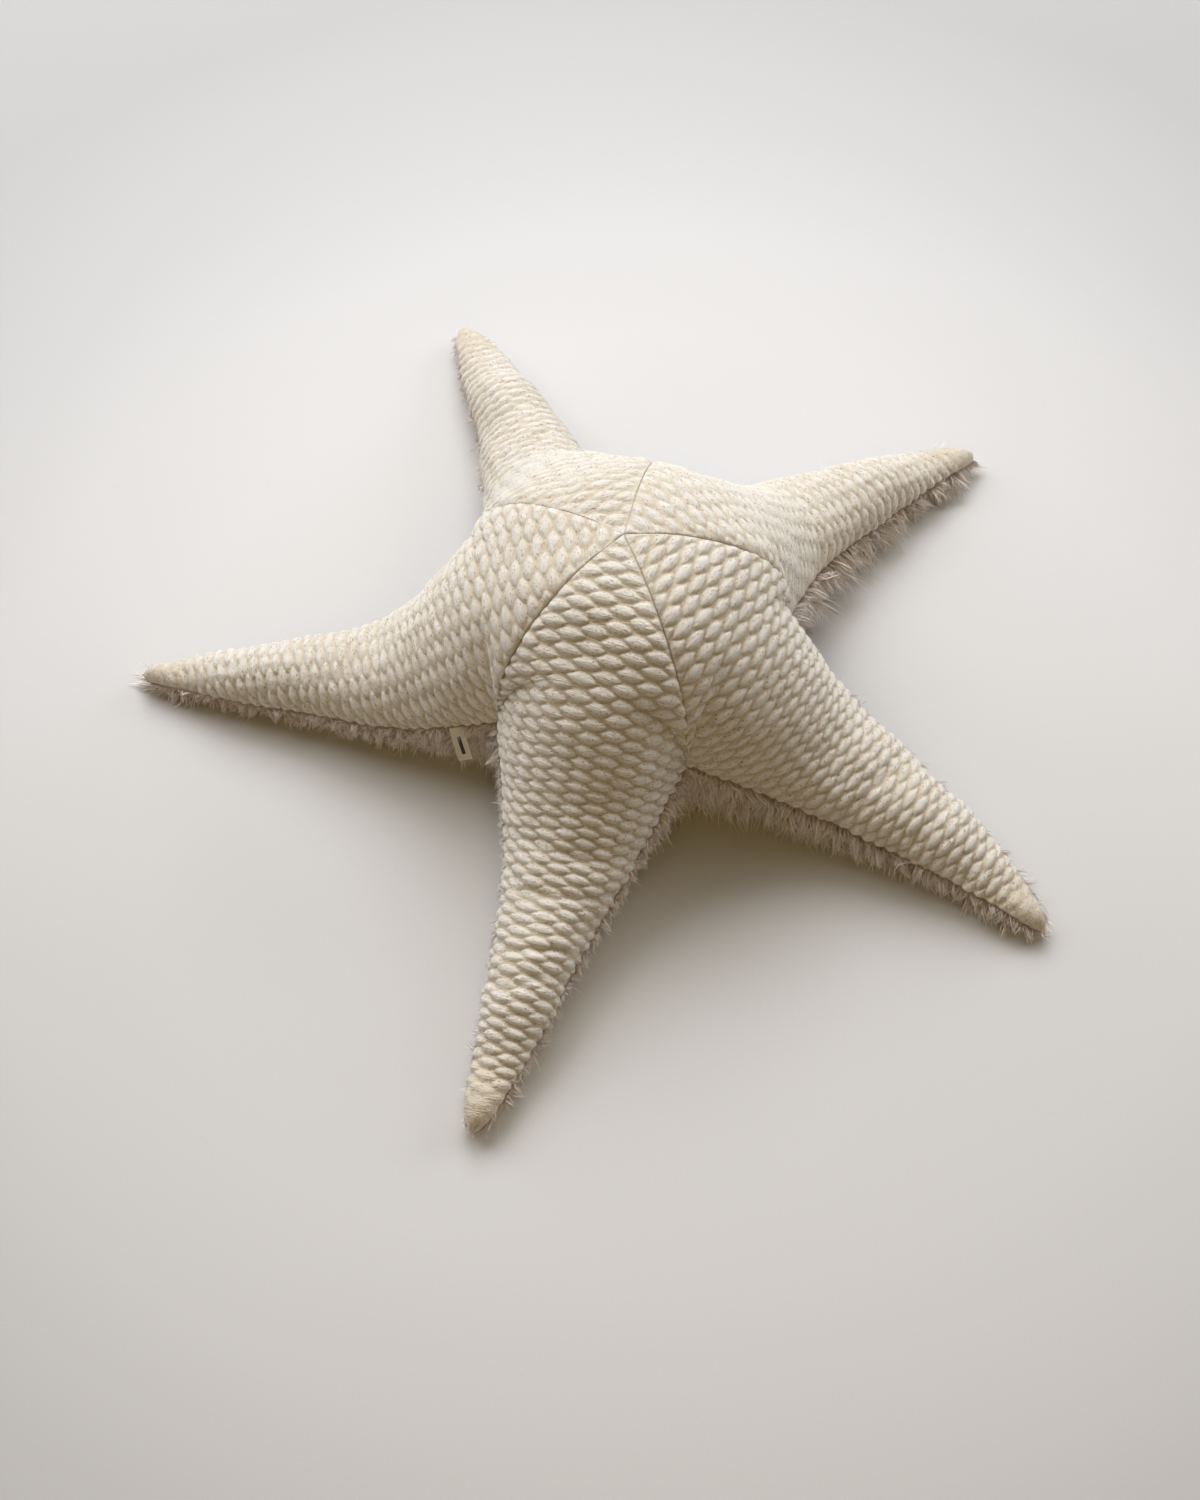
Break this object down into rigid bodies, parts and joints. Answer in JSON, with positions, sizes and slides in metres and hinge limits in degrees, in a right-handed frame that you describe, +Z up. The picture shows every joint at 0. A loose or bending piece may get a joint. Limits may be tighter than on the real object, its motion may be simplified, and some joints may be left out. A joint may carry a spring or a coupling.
{
  "type": "stuffed starfish cushion",
  "caption": "Large stuffed starfish floor cushion: puffy quilted cotton panels on top, long-pile faux fur underneath, lying flat.",
  "frame": {"origin": "on the floor, under the crown where the five panels meet", "axes": "+Z up through the crown; the bottom arm points roughly along -Y"},
  "size_m": [0.742, 0.7754, 0.237],
  "materials": {
    "quilted_cotton": "matt cream cotton, quilted in small lens-shaped puffs, with dark flecks",
    "long_pile_fur": "soft greyish beige long-pile faux fur",
    "fibre_fill": "white fibre filling",
    "woven_label": "woven cream ribbon, blank"
  },
  "bodies": {
    "root": {"arm_panel_top": "quilted_cotton", "arm_panel_right": "quilted_cotton", "arm_panel_lower_right": "quilted_cotton", "arm_panel_bottom": "quilted_cotton", "arm_panel_left": "quilted_cotton", "fur_underside": "long_pile_fur", "stuffing": "fibre_fill", "label": "woven_label"}
  },
  "joints": []
}
